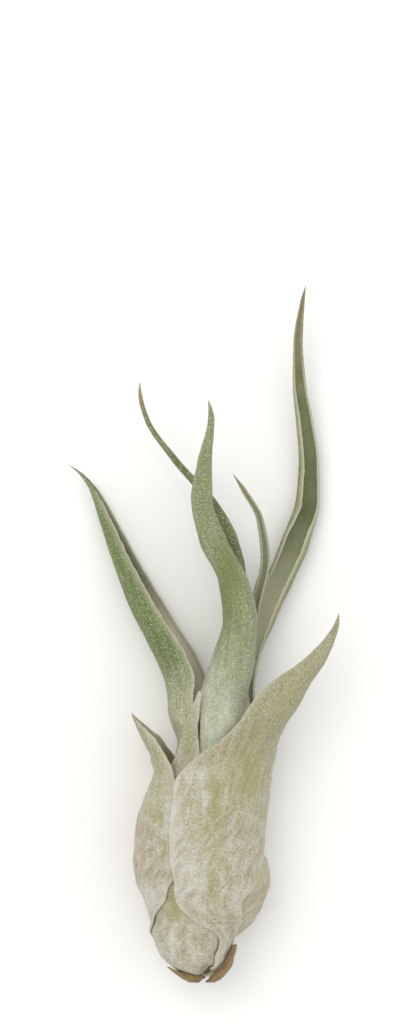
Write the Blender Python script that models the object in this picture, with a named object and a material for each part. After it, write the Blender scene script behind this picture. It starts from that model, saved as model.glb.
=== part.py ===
"""Medusa head air plant lying on its back, with its base toward -Y and its leaf tips toward +Y.

Lengths in the tables are millimetres and angles are degrees. Around the bulb an angle of 0 points
to +X, 90 points up and 270 points down at the surface the plant lies on, which is the plane z = 0.
The origin lies on that surface, in the middle of the plant's length and width. The tables are
measured from a point close to it, and BOX_MIDDLE is the middle of the finished plant from there.
"""

import math

import bmesh
import bpy
import numpy as np

MM = 0.001

# Driving dimensions
PLANT = "medusa_head_air_plant"
BLADE_THICKNESS = 0.80
MARGIN_THICKNESS = 0.62
BOX_MIDDLE = (-0.25, 0.25)
SHEATH_GAP = 0.50
SHEATH_PITCH = BLADE_THICKNESS + SHEATH_GAP
BULB_DEPTH_TO_WIDTH = 0.88
BULB_AXIS_HEIGHT = 13.9
LEAF_STEP_DOWN = 7.0
SCALE_STEP_DOWN = 5.0
MARGIN_CLEARANCE = 2.0
NARROWEST_STEP_RADIUS = 12.0
STEM_TO_LEAF_GAP = 0.35
TIP_TAPER_LENGTH = 5.0
LOWEST_BASE = -86.2
BASE_ROW_SPACING = 0.8
LEAST_ROW_SPACING = 0.5
ROW_SPACING_GROWTH = 1.18
BULB_ROW_SPACING = 2.7
BLADE_ROW_SPACING = 4.6
NECK_HEIGHT = -8.0
TIP_ROWS_BELOW = (3.6, 1.4)
THICKEST_FOR_RADIUS = 1.1
THINNEST_CORE = 0.6
THINNEST_TIP = 0.35
FLOOR_ROUNDING = 0.3
WIDE_SECTION = 8.0
NARROW_SECTION = 3.5

# Bulb outline: height, middle, half width
BULB = (
    (-87.0, -0.4, 1.5),
    (-86.4, -0.4, 2.9),
    (-85.6, -0.4, 4.5),
    (-84.1, -0.9, 6.4),
    (-82.2, -1.3, 8.3),
    (-79.7, -2.1, 9.8),
    (-75.7, -2.3, 11.4),
    (-70.8, 0.0, 13.2),
    (-65.8, 0.2, 14.9),
    (-60.9, -0.1, 16.7),
    (-56.5, -0.6, 16.8),
    (-52.0, -0.9, 16.2),
    (-46.0, -0.4, 16.1),
    (-41.1, 0.7, 15.6),
    (-36.1, 1.9, 14.6),
    (-31.2, 3.0, 12.6),
    (-26.2, 3.2, 11.2),
    (-21.0, 2.8, 10.7),
    (-16.3, 2.4, 10.6),
    (-11.0, 2.4, 11.0),
    (0.0, 2.4, 11.0),
)

# Stem profile: height, radius
STEM = ((-82.0, 0.8), (-80.8, 2.0), (-77.5, 2.9), (-71.0, 2.6), (-66.0, 1.7), (-64.0, 0.8))
STEM_SIDES = 16

# Fineness of the shapes: distances for measuring slopes, samples along an arc, sharpest smooth edge
SLOPE_REACH = 0.25
ACROSS_REACH = 0.02
ARC_SAMPLES = 73
SMOOTH_EDGE_ANGLE = 40


class Leaf:
    """One leaf: a sheath that hugs the bulb, then a blade rolled into a channel that runs to a point.

    sheath rows: height, direction the back of the leaf faces, half of the angle it wraps
    blade rows: height, left edge, right edge, height above the surface, facing, half angle
    leaves_bulb: the heights where the blade starts to leave the bulb and where it is free of it
    flare: the length over which the base widens from the stem to the bulb
    extra_rows: heights that need a row of their own, where the sheath's edge turns sharply
    step_down: how far beyond this leaf's edge the leaf under it is back at the surface
    """

    def __init__(
        self,
        base,
        tip,
        sheath,
        columns,
        blade=(),
        leaves_bulb=None,
        flare=0.0,
        extra_rows=(),
        step_down=LEAF_STEP_DOWN,
    ):
        self.base = base
        self.tip = tip
        self.sheath = sheath
        self.blade = blade
        self.leaves_bulb = leaves_bulb
        self.flare = flare
        self.columns = columns
        self.extra_rows = extra_rows
        self.step_down = step_down


# Leaves from the outermost to the innermost
LEAVES = {
    "dry_scale_right": Leaf(
        base=LOWEST_BASE,
        tip=-76.6,
        sheath=(
            (-86.2, 20, 56),
            (-84.6, 14, 48),
            (-82.4, 8, 41),
            (-80.2, 4, 32),
            (-78.6, 7, 24),
            (-77.4, 13, 15),
            (-76.6, 18, 5),
        ),
        columns=8,
        step_down=SCALE_STEP_DOWN,
    ),
    "dry_scale_left": Leaf(
        base=LOWEST_BASE,
        tip=-82.4,
        sheath=((-86.2, 142, 72), (-85.4, 146, 66), (-84.6, 154, 50), (-83.4, 164, 24), (-82.4, 171, 4)),
        columns=8,
        step_down=SCALE_STEP_DOWN,
    ),
    "leaf_right_short": Leaf(
        base=-84.4,
        tip=5.4,
        sheath=(
            (-84.4, 32, 28),
            (-80.0, 30, 25),
            (-77.0, 32, 20),
            (-75.0, 38, 20),
            (-73.0, 52, 22),
            (-70.8, 69, 29),
            (-65.8, 84, 34),
            (-60.9, 76, 40),
            (-57.0, 72, 45),
            (-54.4, 67, 51),
            (-52.0, 59, 59),
            (-49.4, 52, 67),
            (-46.0, 45, 75),
            (-41.1, 47, 77),
            (-36.1, 50, 78),
            (-31.2, 48, 72),
            (-28.7, 44, 62),
            (-26.2, 38, 48),
            (-20.0, 34, 40),
        ),
        blade=(
            (-43.0, -7.8, 16.4, 14.0, 46, 77),
            (-36.1, -7.4, 16.9, 14.2, 48, 78),
            (-33.0, -5.0, 17.2, 14.4, 48, 77),
            (-31.2, -3.3, 17.7, 14.6, 48, 74),
            (-28.7, -0.2, 18.2, 14.9, 47, 68),
            (-26.2, 4.1, 18.6, 15.3, 46, 60),
            (-23.8, 6.9, 19.4, 15.8, 48, 60),
            (-21.3, 9.0, 20.6, 16.3, 50, 62),
            (-18.8, 10.5, 22.2, 16.8, 52, 68),
            (-13.9, 15.0, 25.6, 17.8, 55, 80),
            (-6.4, 24.4, 30.7, 18.9, 60, 100),
            (-1.5, 29.3, 32.5, 19.8, 62, 105),
            (3.0, 32.2, 33.6, 20.7, 64, 105),
            (5.4, 33.4, 33.4, 21.0, 64, 105),
        ),
        leaves_bulb=(-43.0, -33.0),
        extra_rows=(-74.7, -72.0, -56.6, -54.0),
        columns=12,
    ),
    "leaf_left_short": Leaf(
        base=-83.6,
        tip=-19.4,
        sheath=(
            (-83.6, 226, 16),
            (-80.0, 227, 19),
            (-76.0, 227, 23),
            (-73.5, 216, 34),
            (-70.8, 208, 44),
            (-65.8, 188, 54),
            (-60.9, 180, 60),
            (-56.0, 168, 69),
            (-46.0, 166, 69),
            (-41.0, 176, 58),
            (-36.0, 186, 56),
            (-31.0, 192, 54),
            (-28.0, 192, 54),
        ),
        blade=(
            (-40.0, -14.8, -5.0, 14.0, 184, 64),
            (-34.0, -13.0, -6.4, 14.0, 186, 66),
            (-30.0, -13.3, -7.8, 14.0, 188, 76),
            (-27.0, -15.0, -9.6, 14.0, 190, 95),
            (-24.0, -16.5, -12.8, 14.0, 190, 105),
            (-21.3, -17.6, -15.9, 14.0, 190, 105),
            (-19.4, -17.9, -17.9, 14.0, 190, 105),
        ),
        leaves_bulb=(-39.0, -30.0),
        columns=13,
    ),
    "leaf_sheath_front": Leaf(
        base=-85.6,
        tip=-13.8,
        sheath=(
            (-85.6, 108, 40),
            (-84.2, 115, 58),
            (-80.0, 115, 74),
            (-76.0, 117, 76),
            (-73.0, 119, 78),
            (-70.8, 122, 76),
            (-68.0, 126, 74),
            (-65.8, 128, 72),
            (-60.0, 130, 70),
            (-46.0, 130, 60),
            (-38.0, 133, 44),
            (-31.0, 136, 25),
            (-26.0, 135, 18),
            (-19.0, 118, 8),
            (-13.8, 108, 2),
        ),
        columns=12,
    ),
    "leaf_right_tall": Leaf(
        base=-85.2,
        tip=86.6,
        sheath=(
            (-85.2, 308, 46),
            (-80.0, 316, 70),
            (-75.7, 322, 84),
            (-66.0, 320, 106),
            (-56.0, 306, 102),
            (-46.0, 300, 96),
            (-36.0, 298, 92),
            (-30.0, 300, 86),
            (-24.0, 310, 72),
            (-20.0, 316, 64),
        ),
        blade=(
            (-32.0, -2.6, 14.6, 11.6, 300, 86),
            (-22.0, 1.0, 13.5, 9.8, 300, 80),
            (-14.0, 3.8, 12.9, 8.7, 292, 86),
            (-6.4, 6.8, 14.0, 7.9, 286, 98),
            (3.5, 10.2, 18.0, 6.8, 286, 116),
            (13.4, 15.3, 22.6, 5.1, 279, 132),
            (23.3, 19.4, 26.8, 4.1, 275, 134),
            (33.2, 23.0, 29.0, 3.5, 252, 130),
            (43.1, 23.7, 28.8, 4.2, 250, 126),
            (53.0, 23.0, 27.3, 5.4, 252, 122),
            (62.9, 22.1, 25.5, 7.4, 262, 118),
            (72.8, 22.3, 24.7, 9.2, 280, 112),
            (82.7, 24.0, 25.2, 11.2, 280, 110),
            (86.6, 25.4, 25.4, 12.0, 280, 110),
        ),
        leaves_bulb=(-32.0, -16.0),
        columns=15,
    ),
    "leaf_centre": Leaf(
        base=-77.5,
        tip=57.8,
        sheath=(
            (-77.5, 60, 60),
            (-66.0, 42, 72),
            (-50.0, 40, 80),
            (-30.0, 42, 78),
            (-25.0, 44, 73),
            (-20.0, 46, 66),
            (-8.0, 50, 62),
        ),
        blade=(
            (-24.0, -1.6, 11.4, 15.0, 70, 78),
            (-16.3, -1.1, 10.7, 15.6, 80, 88),
            (-6.4, 1.9, 12.9, 16.0, 86, 104),
            (3.5, 4.7, 13.4, 16.6, 90, 112),
            (13.4, 3.4, 11.0, 17.4, 92, 116),
            (23.3, -1.3, 5.9, 18.4, 94, 118),
            (33.2, -3.1, 2.3, 19.6, 94, 118),
            (43.1, -1.4, 2.2, 21.4, 92, 118),
            (53.0, 1.0, 2.8, 23.2, 90, 115),
            (56.0, 1.1, 2.1, 23.7, 90, 115),
            (57.8, 1.1, 1.1, 24.0, 90, 115),
        ),
        leaves_bulb=(-22.0, -10.0),
        flare=8.0,
        columns=12,
    ),
    "leaf_left_long": Leaf(
        base=-74.0,
        tip=42.3,
        sheath=(
            (-74.0, 212, 60),
            (-66.0, 210, 84),
            (-50.0, 207, 88),
            (-38.0, 205, 86),
            (-30.0, 200, 82),
            (-24.0, 192, 72),
            (-20.0, 188, 68),
        ),
        blade=(
            (-28.0, -8.6, 0.6, 14.0, 192, 84),
            (-22.0, -9.3, 0.4, 14.0, 192, 86),
            (-16.3, -8.9, 0.5, 13.3, 194, 102),
            (-11.4, -9.6, 0.6, 12.4, 192, 107),
            (-6.4, -11.6, -1.2, 11.4, 192, 110),
            (-1.5, -14.1, -4.2, 10.0, 193, 114),
            (8.4, -19.2, -10.3, 7.4, 196, 118),
            (18.3, -22.9, -16.1, 4.5, 196, 118),
            (28.2, -26.1, -21.5, 3.1, 196, 118),
            (35.0, -28.2, -25.6, 3.9, 198, 116),
            (39.5, -31.0, -29.6, 5.6, 202, 108),
            (42.3, -34.0, -34.0, 7.0, 202, 108),
        ),
        leaves_bulb=(-27.0, -15.0),
        flare=8.0,
        columns=12,
    ),
    "leaf_thin_left": Leaf(
        base=-69.0,
        tip=62.6,
        sheath=(),
        blade=(
            (-69.0, -4.6, 3.8, 13.9, 100, 120),
            (-60.0, -4.2, 4.4, 13.9, 100, 125),
            (-40.0, -1.2, 6.2, 13.9, 98, 125),
            (-25.0, 1.6, 8.0, 13.9, 96, 112),
            (-10.0, 5.4, 10.2, 13.8, 92, 108),
            (0.0, 7.0, 10.2, 13.0, 86, 110),
            (8.0, 7.5, 10.2, 12.0, 82, 120),
            (14.9, 7.7, 10.5, 11.2, 80, 128),
            (23.3, 5.0, 8.7, 11.2, 80, 128),
            (33.2, -0.1, 3.1, 12.0, 80, 128),
            (43.1, -8.2, -5.9, 13.4, 84, 126),
            (53.0, -14.7, -13.2, 15.2, 84, 120),
            (59.5, -16.2, -15.2, 16.4, 84, 115),
            (62.6, -15.7, -15.7, 17.0, 84, 115),
        ),
        columns=6,
    ),
    "leaf_thin_centre": Leaf(
        base=-62.0,
        tip=39.8,
        sheath=(),
        blade=(
            (-62.0, -1.9, 1.5, 13.9, 280, 100),
            (-50.0, -1.4, 2.0, 13.9, 280, 120),
            (-30.0, 2.0, 4.8, 13.6, 280, 120),
            (-18.0, 4.6, 7.0, 12.0, 280, 120),
            (-8.0, 7.4, 9.8, 10.4, 280, 124),
            (0.0, 10.4, 12.7, 9.9, 278, 126),
            (8.4, 11.8, 14.6, 10.6, 275, 128),
            (18.3, 14.1, 16.6, 12.0, 272, 125),
            (28.2, 13.0, 15.0, 13.8, 270, 122),
            (36.0, 8.9, 10.5, 15.8, 270, 118),
            (39.8, 7.1, 7.1, 17.0, 270, 118),
        ),
        columns=6,
    ),
}

# Colours: base colour, roughness
FELTED = ((0.60, 0.58, 0.48), 0.9)
GREEN = ((0.22, 0.28, 0.14), 0.75)
DRY = ((0.33, 0.20, 0.12), 0.85)
WOODY = ((0.20, 0.14, 0.09), 0.9)
COLOURS = {
    "dry_scale_right": DRY,
    "dry_scale_left": DRY,
    "leaf_right_short": FELTED,
    "leaf_left_short": FELTED,
    "leaf_sheath_front": FELTED,
    "leaf_right_tall": GREEN,
    "leaf_centre": FELTED,
    "leaf_left_long": GREEN,
    "leaf_thin_left": GREEN,
    "leaf_thin_centre": GREEN,
    "stem": WOODY,
}


def along(rows, column, heights):
    """Smooth curve through one column of a table, read at the given heights, with no overshoot."""
    knots = np.array([row[0] for row in rows], float)
    values = np.array([row[column] for row in rows], float)
    step = np.diff(knots)
    slope = np.diff(values) / step
    tangent = np.zeros(len(knots))
    same_sign = slope[:-1] * slope[1:] > 0
    harmonic = 2 * slope[:-1] * slope[1:] / np.where(same_sign, slope[:-1] + slope[1:], 1)
    tangent[1:-1] = np.where(same_sign, harmonic, 0)
    tangent[0] = slope[0]
    tangent[-1] = slope[-1]
    at = np.clip(np.asarray(heights, float), knots[0], knots[-1])
    cell = np.clip(np.searchsorted(knots, at, side="right") - 1, 0, len(step) - 1)
    t = (at - knots[cell]) / step[cell]
    start = (1 + 2 * t) * (1 - t) ** 2 * values[cell] + t * (1 - t) ** 2 * step[cell] * tangent[cell]
    end = t * t * (3 - 2 * t) * values[cell + 1] - t * t * (1 - t) * step[cell] * tangent[cell + 1]
    return start + end


def ease(low, high, value):
    """0 below low, 1 above high, and smooth between."""
    t = np.clip((value - low) / (high - low), 0, 1)
    return t * t * (3 - 2 * t)


def unit(vectors):
    return vectors / np.linalg.norm(vectors, axis=-1, keepdims=True)


def bulb_surface(angle, height):
    """Points of the bulb's outer surface, and its outward normals."""
    middle = along(BULB, 1, height)
    width = along(BULB, 2, height)
    depth = width * BULB_DEPTH_TO_WIDTH
    above = along(BULB, 2, height + SLOPE_REACH)
    below = along(BULB, 2, height - SLOPE_REACH)
    width_slope = (above - below) / (2 * SLOPE_REACH)
    points = np.stack([middle + width * np.cos(angle), height, BULB_AXIS_HEIGHT + depth * np.sin(angle)], -1)
    normals = np.stack(
        [np.cos(angle), -width_slope * np.ones_like(angle), np.sin(angle) / BULB_DEPTH_TO_WIDTH], -1
    )
    return points, unit(normals)


def wrap_angles(leaf, height):
    """Facing direction and half angle of a leaf's sheath, in radians."""
    facing = np.radians(along(leaf.sheath, 1, height))
    half = np.radians(along(leaf.sheath, 2, height))
    return facing, half


def cover(leaf, angle, height):
    """1 under a leaf's sheath, 0 well clear of it, and a smooth step in between."""
    if not leaf.sheath:
        return np.zeros_like(angle)
    top = leaf.leaves_bulb[1] if leaf.blade else leaf.tip
    below_top = top + MARGIN_CLEARANCE - height
    widest = np.full_like(angle, -math.inf)
    for shift in (-MARGIN_CLEARANCE, 0, MARGIN_CLEARANCE):
        facing, half = wrap_angles(leaf, height + shift)
        off = np.abs((angle - facing + math.pi) % (2 * math.pi) - math.pi)
        widest = np.maximum(widest, half - off)
    inside = widest * np.maximum(along(BULB, 2, height), NARROWEST_STEP_RADIUS)
    nearest = np.minimum(inside, below_top)
    return ease(-MARGIN_CLEARANCE - leaf.step_down, -MARGIN_CLEARANCE, nearest)


def sheath_points(name, angle, height, depth_in_leaf):
    """Sheath surface: the bulb's surface, lowered by one pitch for each leaf that lies over it."""
    surface, normal = bulb_surface(angle, height)
    depth = np.full_like(angle, depth_in_leaf)
    for other, leaf in LEAVES.items():
        if other == name:
            break
        depth = depth + SHEATH_PITCH * cover(leaf, angle, height)
    points = surface - normal * depth[..., None]
    points[..., 2] = soft_floor(points[..., 2], depth)
    base = LEAVES[name].base
    flare = LEAVES[name].flare
    if not flare:
        return points
    out = ease(base, base + flare, height)
    seat = along(STEM, 1, height) + STEM_TO_LEAF_GAP + BLADE_THICKNESS / 2
    seated = points.copy()
    seated[..., 0] = along(BULB, 1, height) + seat * np.cos(angle)
    seated[..., 1] = height
    seated[..., 2] = BULB_AXIS_HEIGHT + seat * np.sin(angle)
    return seated * (1 - out[..., None]) + points * out[..., None]


def soft_floor(value, floor):
    """Keeps values above a floor, with a rounded change of slope."""
    over = value - floor
    rounded = np.maximum(over + FLOOR_ROUNDING, 0) ** 2 / (4 * FLOOR_ROUNDING)
    return floor + np.where(over > FLOOR_ROUNDING, over, rounded)


def blade_frame(leaf, height):
    """Middle line, side vector and up vector of a blade at each height."""
    rows = leaf.blade

    def middle(at):
        x = (along(rows, 1, at) + along(rows, 2, at)) / 2
        return np.stack([x, at, along(rows, 3, at)], -1)

    half_width = (along(rows, 2, height) - along(rows, 1, height)) / 2
    follow = 1 - ease(NARROW_SECTION, WIDE_SECTION, half_width)[..., None]
    ahead = middle(np.minimum(height + SLOPE_REACH, leaf.tip))
    direction = unit(ahead - middle(height - SLOPE_REACH))
    direction = unit(direction * follow + np.array([0, 1, 0]) * (1 - follow))
    side = unit(np.cross(direction, [0, 0, 1]))
    up = np.cross(side, direction)
    half_width = half_width * side[..., 0]
    facing = np.radians(along(rows, 4, height))
    half = np.radians(along(rows, 5, height))
    return middle(height), side, up, half_width, facing, half


def blade_arc(half_width, facing, half):
    """Radius of a blade's arc, and how far its centre lies to the left of the blade's middle."""
    sweep = np.linspace(-1, 1, ARC_SAMPLES)
    arc = np.cos(facing[..., None] + sweep * half[..., None])
    low = arc.min(-1)
    high = arc.max(-1)
    outer = 2 * half_width / (high - low)
    radius = np.maximum(outer - BLADE_THICKNESS / 2, outer * THINNEST_CORE)
    return radius, outer * (high + low) / 2


def blade_points(leaf, across, height):
    """Blade surface: an arc round the middle line, as wide as the blade looks from above."""
    middle, side, up, half_width, facing, half = blade_frame(leaf, height)
    radius, offset = blade_arc(half_width, facing, half)
    centre = middle - side * offset[..., None]
    angle = facing + across * half
    return centre + side * (radius * np.cos(angle))[..., None] + up * (radius * np.sin(angle))[..., None]


def leaf_surface(name, across, height):
    """Middle surface of a leaf, for positions across it from -1 to 1 and heights up it."""
    leaf = LEAVES[name]
    if not leaf.sheath:
        return blade_points(leaf, across, height)
    facing, half = wrap_angles(leaf, height)
    sheath = sheath_points(name, facing + across * half, height, BLADE_THICKNESS / 2)
    if not leaf.blade:
        return sheath
    free = ease(*leaf.leaves_bulb, height)[..., None]
    blade = blade_points(leaf, across, np.maximum(height, leaf.blade[0][0]))
    return sheath * (1 - free) + blade * free


def leaf_heights(leaf):
    """Heights of the rows up a leaf. Sheaths share them, so that their facets nest."""
    shared = [LOWEST_BASE]
    spacing = BASE_ROW_SPACING
    while shared[-1] < NECK_HEIGHT:
        shared.append(shared[-1] + spacing)
        spacing = min(spacing * ROW_SPACING_GROWTH, BULB_ROW_SPACING)
    shared = sorted([*shared, *leaf.extra_rows])
    tip_rows = TIP_ROWS_BELOW if leaf.blade else TIP_ROWS_BELOW[1:]
    last = leaf.tip - tip_rows[0]
    rows = [leaf.base]
    rows += [height for height in shared if leaf.base + LEAST_ROW_SPACING < height < last - LEAST_ROW_SPACING]
    gap = last - rows[-1]
    count = max(1, round(gap / BLADE_ROW_SPACING))
    rows += [rows[-1] + gap * i / count for i in range(1, count)]
    rows += [leaf.tip - below for below in tip_rows]
    return np.array(rows)


def leaf_rings(name):
    """Closed rings round the leaf from base to tip: the back from side to side, then the front."""
    leaf = LEAVES[name]
    across = np.linspace(-1, 1, leaf.columns + 1)
    height, across = np.meshgrid(leaf_heights(leaf), across, indexing="ij")
    middle = leaf_surface(name, across, height)
    higher = leaf_surface(name, across, height + SLOPE_REACH)
    lower = leaf_surface(name, across, height - SLOPE_REACH)
    right = leaf_surface(name, across + ACROSS_REACH, height)
    left = leaf_surface(name, across - ACROSS_REACH, height)
    normal = unit(np.cross(right - left, higher - lower))
    thickness = BLADE_THICKNESS + (MARGIN_THICKNESS - BLADE_THICKNESS) * across**4
    from_tip = ease(0, TIP_TAPER_LENGTH, leaf.tip - height)
    thickness = thickness * (THINNEST_TIP + (1 - THINNEST_TIP) * from_tip)
    if leaf.blade:
        radius = blade_arc(*blade_frame(leaf, np.maximum(height, leaf.blade[0][0]))[3:])[0]
        thickness = np.minimum(thickness, THICKEST_FOR_RADIUS * radius)
    offset = normal * (thickness / 2)[..., None]
    return np.concatenate([middle + offset, (middle - offset)[:, ::-1]], 1)


def skin(rings, apex):
    """Closed mesh through the rings, with a flat strip at the base and a point at the tip."""
    mesh = bmesh.new()
    rows = [[mesh.verts.new(point * MM) for point in ring] for ring in rings]
    tip = mesh.verts.new(np.array(apex) * MM)
    count = len(rows[0])
    half = count // 2
    for lower, upper in zip(rows, rows[1:]):
        for i in range(count):
            j = (i + 1) % count
            if i < half:
                mesh.faces.new((lower[i], lower[j], upper[j]))
                mesh.faces.new((lower[i], upper[j], upper[i]))
            else:
                mesh.faces.new((lower[i], lower[j], upper[i]))
                mesh.faces.new((lower[j], upper[j], upper[i]))
    for i in range(count):
        mesh.faces.new((rows[-1][i], rows[-1][(i + 1) % count], tip))
    base = rows[0]
    for i in range(half - 1):
        j = count - 1 - i
        mesh.faces.new((base[i + 1], base[i], base[j]))
        mesh.faces.new((base[i + 1], base[j], base[j - 1]))
    bmesh.ops.recalc_face_normals(mesh, faces=mesh.faces)
    return mesh


def material(name, colour, roughness):
    made = bpy.data.materials.new(name)
    made.use_nodes = True
    shader = made.node_tree.nodes["Principled BSDF"]
    shader.inputs["Base Color"].default_value = (*colour, 1)
    shader.inputs["Roughness"].default_value = roughness
    shader.inputs["Metallic"].default_value = 0
    return made


def add_object(collection, name, mesh):
    data = bpy.data.meshes.new(name)
    bmesh.ops.translate(mesh, verts=mesh.verts, vec=(-BOX_MIDDLE[0] * MM, -BOX_MIDDLE[1] * MM, 0))
    mesh.to_mesh(data)
    mesh.free()
    data.shade_smooth()
    data.set_sharp_from_angle(angle=math.radians(SMOOTH_EDGE_ANGLE))
    data.materials.append(material(name, *COLOURS[name]))
    collection.objects.link(bpy.data.objects.new(name, data))


def add_leaf(collection, name):
    tip = leaf_surface(name, np.zeros(1), np.array([LEAVES[name].tip]))[0]
    mesh = skin(leaf_rings(name), tip)
    add_object(collection, name, mesh)


def add_stem(collection):
    """Short stout stem that the leaf bases stand round, turned about the bulb's axis."""
    mesh = bmesh.new()
    rings = []
    for height, radius in STEM:
        middle = float(along(BULB, 1, height))
        ring = []
        for i in range(STEM_SIDES):
            turn = 2 * math.pi * i / STEM_SIDES
            x = middle + radius * math.cos(turn)
            z = BULB_AXIS_HEIGHT + radius * math.sin(turn)
            ring.append(mesh.verts.new((x * MM, height * MM, z * MM)))
        rings.append(ring)
    for lower, upper in zip(rings, rings[1:]):
        for i in range(STEM_SIDES):
            j = (i + 1) % STEM_SIDES
            mesh.faces.new((lower[i], lower[j], upper[j], upper[i]))
    mesh.faces.new(rings[0])
    mesh.faces.new(rings[-1])
    bmesh.ops.recalc_face_normals(mesh, faces=mesh.faces)
    add_object(collection, "stem", mesh)


def main():
    for old in list(bpy.data.objects):
        bpy.data.objects.remove(old)
    collection = bpy.data.collections.new(PLANT)
    bpy.context.scene.collection.children.link(collection)
    add_stem(collection)
    for name in LEAVES:
        add_leaf(collection, name)


main()
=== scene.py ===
"""Medusa head air plant: its felted sheaths, channelled leaves and dry basal scales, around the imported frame.

Tables are in millimetres and degrees, as the solids are: x to the right, heights along the plant
toward the leaf tips, z up from the surface it lies on. Around the bulb 0 points to +x and 90 up.
"""

import math

import bmesh
import bpy
import numpy as np
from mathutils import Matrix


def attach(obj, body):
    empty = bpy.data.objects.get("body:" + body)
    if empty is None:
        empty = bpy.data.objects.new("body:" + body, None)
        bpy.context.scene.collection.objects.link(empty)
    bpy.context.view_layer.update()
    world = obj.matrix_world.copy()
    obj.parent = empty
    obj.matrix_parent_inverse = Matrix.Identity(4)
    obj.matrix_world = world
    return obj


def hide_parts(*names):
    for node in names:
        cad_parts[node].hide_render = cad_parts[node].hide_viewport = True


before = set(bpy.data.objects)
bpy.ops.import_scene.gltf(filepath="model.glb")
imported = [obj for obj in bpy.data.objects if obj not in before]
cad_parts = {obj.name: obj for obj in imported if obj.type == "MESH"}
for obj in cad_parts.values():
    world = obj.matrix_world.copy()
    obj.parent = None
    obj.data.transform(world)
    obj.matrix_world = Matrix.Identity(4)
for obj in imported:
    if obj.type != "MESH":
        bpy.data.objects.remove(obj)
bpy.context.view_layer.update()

MM = 0.001

# Sizes shared with the solids
BLADE_THICKNESS = 0.80
BOX_MIDDLE = (-0.25, 0.25)
BULB_DEPTH_TO_WIDTH = 0.88
BULB_AXIS_HEIGHT = 13.9
LEAF_STEP_DOWN = 7.0
SCALE_STEP_DOWN = 5.0
MARGIN_CLEARANCE = 2.0
NARROWEST_STEP_RADIUS = 12.0
STEM_TO_LEAF_GAP = 0.35
TIP_TAPER_LENGTH = 5.0
LOWEST_BASE = -86.2
THICKEST_FOR_RADIUS = 1.1
THINNEST_CORE = 0.6
THINNEST_TIP = 0.35
FLOOR_ROUNDING = 0.3
WIDE_SECTION = 8.0
NARROW_SECTION = 3.5
STEM = ((-82.0, 0.8), (-80.8, 2.0), (-77.5, 2.9), (-71.0, 2.6), (-66.0, 1.7), (-64.0, 0.8))

# Sizes of the skins alone: their margins are thinner and their sheaths lie closer than the solids'
MARGIN_THICKNESS = 0.45
SHEATH_GAP = 0.16
SHEATH_PITCH = BLADE_THICKNESS + SHEATH_GAP

# Fineness of the leaf skins, and of the coarse ones that only measure how wide a leaf is
ROW_SPACING = 0.62
COLUMN_SPACING = 0.55
FEWEST_COLUMNS = 10
APEX_LENGTH = 0.25
EDGE_COLUMNS = (0.998, 0.992, 0.984)
INNER_COLUMNS = 0.97
EDGE_ROUNDING = 0.42
COARSE_COLUMNS = 25
COARSE_ROWS = 60

# Random grain: cells in its table, and its mean value
GRAIN_CELLS = 64
MEAN_GRAIN = 0.5

# Relief of the skins, as heights and as spacings across and along the leaf
VEIN_SPACING = 1.05
VEIN_HEIGHT = 0.025
FELT_SPACING = (0.8, 1.1)
FELT_RELIEF = 0.13
WRINKLE_SPACING = (1.9, 0.9)
WRINKLE_SLANT = 4.0
WRINKLE_RELIEF = 0.11
DRY_SPACING = (1.4, 4.0)
DRY_RELIEF = 0.22
FULL_RELIEF_HALF_WIDTH = 2.5
FULL_RELIEF_FROM_MARGIN = 0.6

# Uneven margins: small bumps on longer waves, how far they push, and how far in that reaches
MARGIN_BUMP = 0.26
BUMP_SPACING = 0.8
WAVE_SPACING = 2.6
WAVE_SHARE = 0.6
GRAIN_BETWEEN_MARGINS = 3.0
MARGIN_REACH = 0.7

# Pale margins: how faint they are on the narrowest blades, and the half widths where they grow bold
FAINTEST_MARGIN = 0.25
MARGIN_GROWS_BOLD = (0.8, 4.0)

# Inner face: how far in from the margin it shows fully, and the share of the blade, from the sheath up,
# over which it turns from the pale tone, the channel's grey-olive painted pale as light against the shade in
# the hollow, to the green one
INNER_FACE_FADE = 1.2
PALE_CHANNEL_SHARE = 0.45
INNER_FACE_PATTERN_SHIFT = 40

# Trichomes: pale scales that absorb water, drawn a little larger than their real 0.2 mm so that they show
SCALE_RADIUS = 0.14
SCALE_LIFT = 0.06
SCALE_SUNK = 0.03
SMALLEST_SCALE = (0.55, 0.55, 0.7)
LARGEST_SCALE = (1.35, 1.35, 1.3)
MOST_SCALE_TURN = (0.3, 0.3, 6.283)

# How thickly scales stand, beside what the felt adds: on bare tissue, on the inner face, along the
# margin, and where the tissue is brown
SCALES_PER_MM2 = 6.0
SCALES_ON_BARE_TISSUE = 0.35
SCALES_ON_INNER_FACE = 0.35
SCALES_ON_MARGIN = 1.6
SCALES_LOST_ON_BROWN = 0.7
MOST_SCALES = 2.0

# Felt cover: strength of the tufts on a blade and what a sheath adds, of the flecks and of the leaf's
# own felt, what the inner face loses, and where the sum starts to hide the tissue and hides it most
TUFTS_ON_BLADE = 0.10
TUFTS_ADDED_ON_SHEATH = 0.55
FLECKS = 0.75
OWN_FELT = 0.50
LOST_ON_INNER_FACE = 0.16
FELT_STARTS = 0.40
FELT_FULL = 0.86
MOST_COVER = 0.90

# Camera: straight above, with the photograph's framing and a long lens
PHOTO_SIZE = (405, 1024)
MM_PER_PIXEL = 0.2475
PLANT_ORIGIN_PIXEL = (203.5, 634.0)
CAMERA_DISTANCE = 1500.0
PLANT_MIDDLE_HEIGHT = 14.0

# Floor, in metres: half its side, and its level just under the plant
FLOOR_REACH = 1.2
FLOOR_LEVEL = -0.00005
FLOOR_CORNERS = ((-1, -1), (1, -1), (1, 1), (-1, 1))

# Light: strength of the white surroundings, then each soft box: place and size in metres, watts, colour
SURROUNDINGS = 0.85
SOFT_BOXES = (
    ("key_box", (-0.32, 0.30, 1.10), 0.8, 4.4, "#fffaf2"),
    ("fill_box", (0.60, -0.20, 0.90), 0.9, 1.4, "#f4f8ff"),
)

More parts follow.
